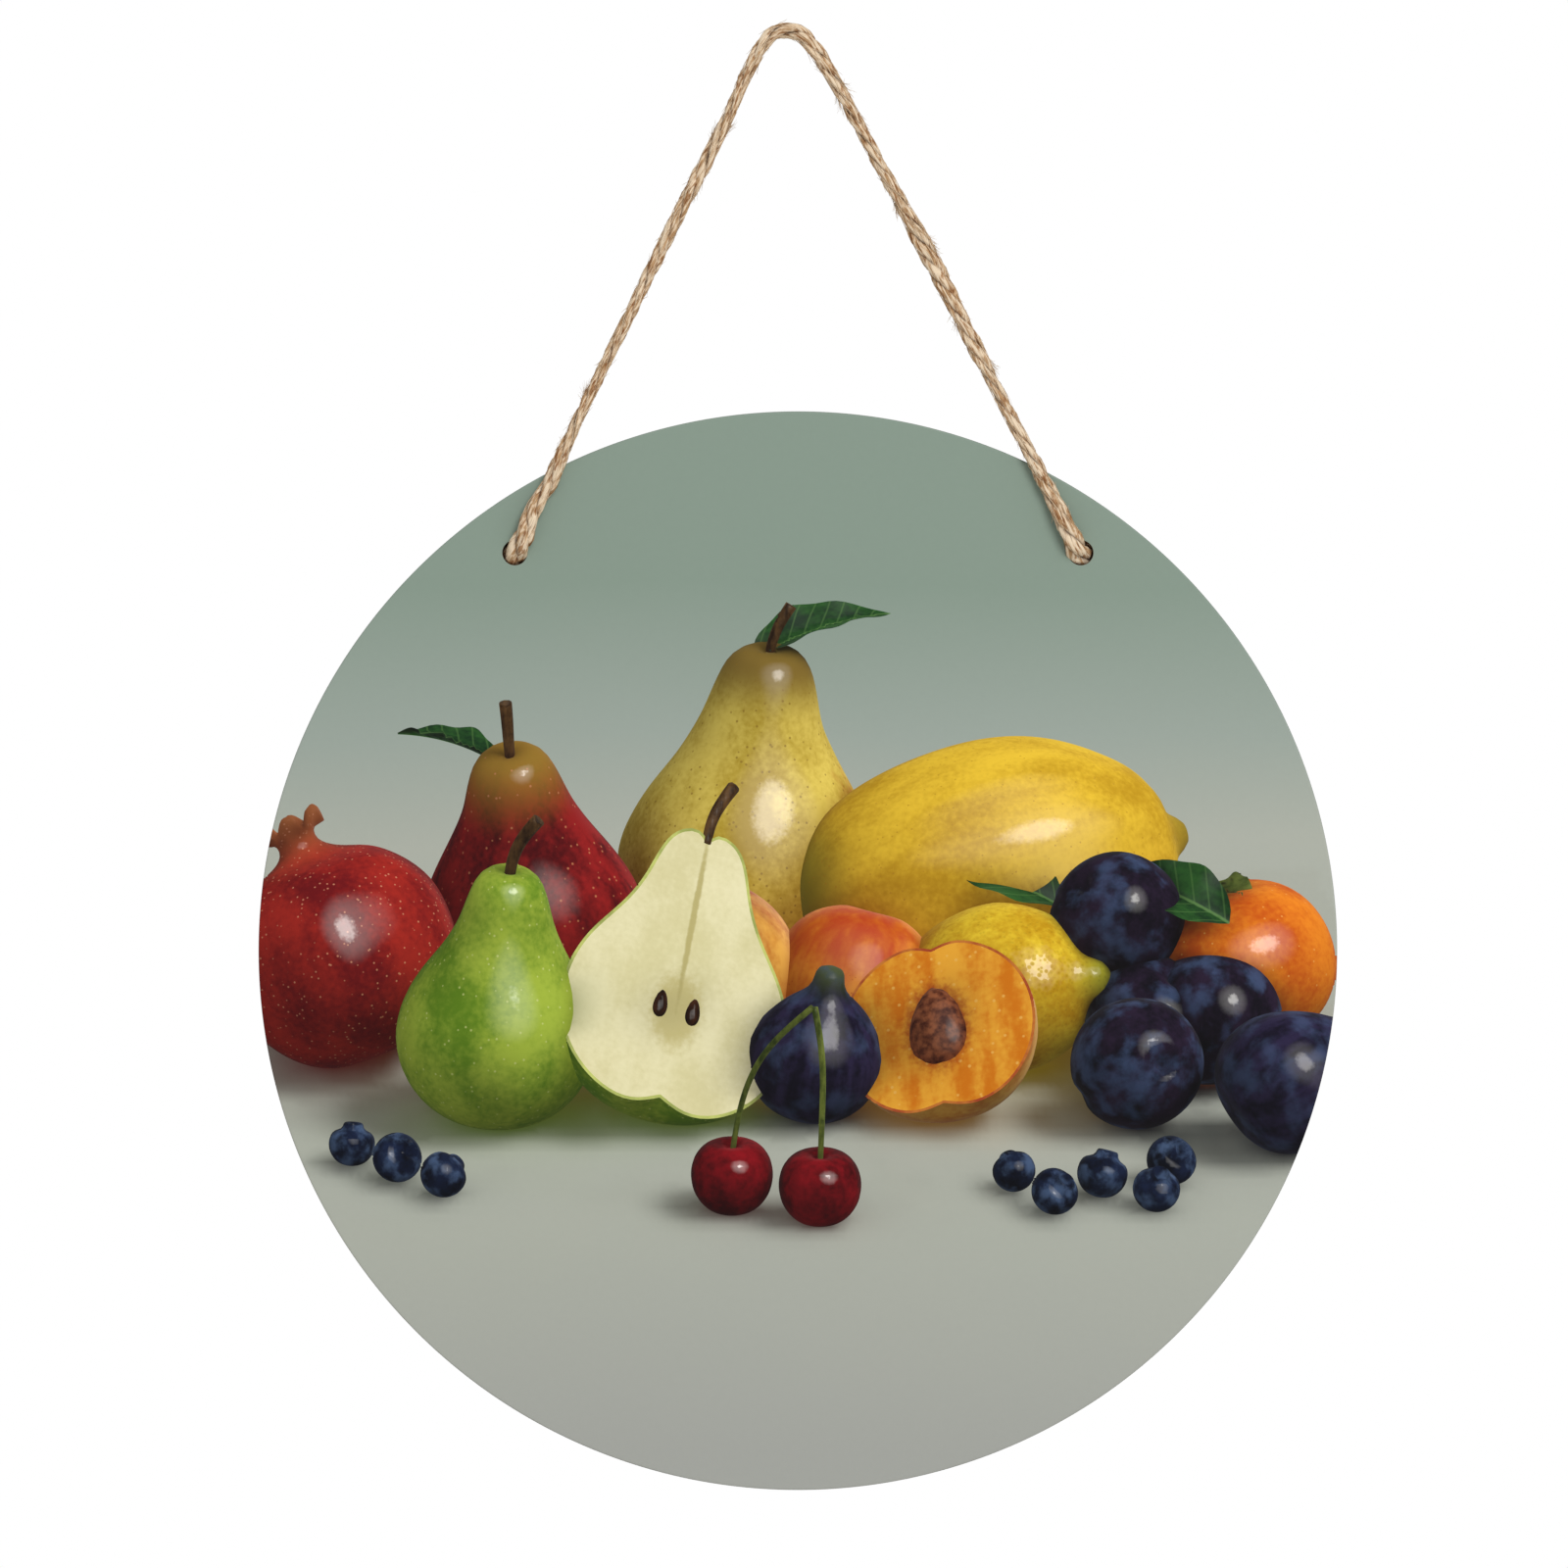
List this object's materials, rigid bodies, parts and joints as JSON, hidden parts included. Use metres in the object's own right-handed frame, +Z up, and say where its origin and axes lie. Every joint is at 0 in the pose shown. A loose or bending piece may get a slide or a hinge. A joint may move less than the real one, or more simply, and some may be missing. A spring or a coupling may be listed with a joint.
{
  "type": "wooden wall sign",
  "caption": "Round printed wooden wall sign, a thin disc that hangs from a jute rope knotted through holes near its top.",
  "frame": {"origin": "underside of the rope's highest point, where a nail or hook carries the sign", "axes": "+Z up, -Y out of the printed front, +Y towards the wall, +X to the right as seen from the front"},
  "size_m": [0.3, 0.0181, 0.4081],
  "materials": {
    "printed_board": "satin print on a thin wooden board, bare wood behind",
    "jute": "natural twisted jute, hairy"
  },
  "bodies": {
    "root": {"board": "printed_board", "hanging_rope": "jute", "knot_left": "jute", "knot_right": "jute"}
  },
  "joints": []
}
